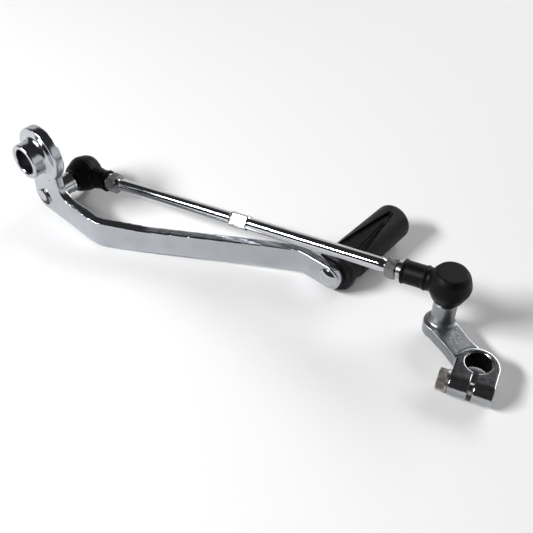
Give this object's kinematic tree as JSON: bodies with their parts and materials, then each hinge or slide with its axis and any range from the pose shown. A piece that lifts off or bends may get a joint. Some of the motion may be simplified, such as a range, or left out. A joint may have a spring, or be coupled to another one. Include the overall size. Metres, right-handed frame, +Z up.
{
  "type": "motorcycle gear shift lever",
  "caption": "Cranked shift pedal with a rubber toe peg, joined by an adjustable rod and two booted ball joints to a splined clamp arm.",
  "frame": {"origin": "on the axis of the pedal's pivot bore, at the front face of the pedal's arm", "axes": "+X along the pedal from the pivot to the toe, +Y along the pivot axis to the side of the ball stud and toe peg, +Z up as the object lies"},
  "size_m": [0.2727, 0.1259, 0.0585],
  "materials": {
    "chrome_forging": "bright chrome plate over a polished forging, slightly wavy",
    "peg_steel": "chrome plated rivet head, plain steel core",
    "toe_rubber": "matt moulded black rubber",
    "stud_chrome": "bright plated steel",
    "stud_steel": "ground steel",
    "nylon": "natural nylon",
    "rod_end_zinc": "bright zinc plate",
    "boot_rubber": "matt soft black rubber",
    "nut_zinc": "zinc plate, slightly dull",
    "rod_chrome": "bright chrome plate, drawn rod",
    "clamp_satin": "satin plated forging with a fine orange-peel skin",
    "bolt_steel": "dull yellow-grey passivated zinc"
  },
  "bodies": {
    "pedal": {"pedal_arm": "chrome_forging", "toe_peg": "peg_steel", "toe_rubber": "toe_rubber", "rear_ball_stud": "stud_chrome"},
    "rear_seat": {"rear_ball_seat": "nylon"},
    "rear_ring": {"rear_seat_ring": "nylon"},
    "rear_end": {"rear_rod_end": "rod_end_zinc", "rear_end_cap": "rod_end_zinc", "rear_boot": "boot_rubber", "rear_jam_nut": "nut_zinc"},
    "rod": {"link_rod": "rod_chrome"},
    "front_end": {"front_rod_end": "rod_end_zinc", "front_end_cap": "rod_end_zinc", "front_boot": "boot_rubber", "front_jam_nut": "nut_zinc"},
    "front_ring": {"front_seat_ring": "nylon"},
    "front_seat": {"front_ball_seat": "nylon"},
    "shift_arm": {"clamp_arm": "clamp_satin", "front_ball_stud": "stud_steel", "pinch_bolt": "bolt_steel", "pinch_washer": "bolt_steel"}
  },
  "joints": [
    {"name": "rear_swivel", "type": "hinge", "parent": "pedal", "child": "rear_seat", "pos_m": [-0.0036, 0.028, -0.031], "axis": [0, -1, 0], "range_deg": [-0.5, 150]},
    {"name": "rear_swing", "type": "hinge", "parent": "rear_seat", "child": "rear_ring", "pos_m": [-0.0036, 0.028, -0.031], "axis": [-0.0986, -0.0192, 0.9949], "range_deg": [-8, 4]},
    {"name": "rear_roll", "type": "hinge", "parent": "rear_ring", "child": "rear_end", "pos_m": [-0.0036, 0.028, -0.031], "axis": [0.9767, 0.1897, 0.1004], "range_deg": [-8, 8]},
    {"name": "rod_turn", "type": "hinge", "parent": "rear_end", "child": "rod", "pos_m": [-0.0036, 0.028, -0.031], "axis": [0.9767, 0.1897, 0.1004], "range_deg": [0, 721]},
    {"name": "link_length", "type": "slide", "parent": "rear_end", "child": "front_end", "axis": [0.9767, 0.1897, 0.1004], "range_m": [0, 0.004]},
    {"name": "front_roll", "type": "hinge", "parent": "front_end", "child": "front_ring", "pos_m": [0.2142, 0.0703, -0.0086], "axis": [0.9767, 0.1897, 0.1004], "range_deg": [-8, 8]},
    {"name": "front_swing", "type": "hinge", "parent": "front_ring", "child": "front_seat", "pos_m": [0.2142, 0.0703, -0.0086], "axis": [-0.1907, 0.9817, 0], "range_deg": [-10, 8]},
    {"name": "front_swivel", "type": "hinge", "parent": "front_seat", "child": "shift_arm", "pos_m": [0.2142, 0.0703, -0.0086], "axis": [0, 0, 1], "range_deg": [-90, 90]}
  ],
  "couplings": [
    {"joint": "rod_turn", "follows": "link_length", "rad_per_m": 3141.6}
  ]
}
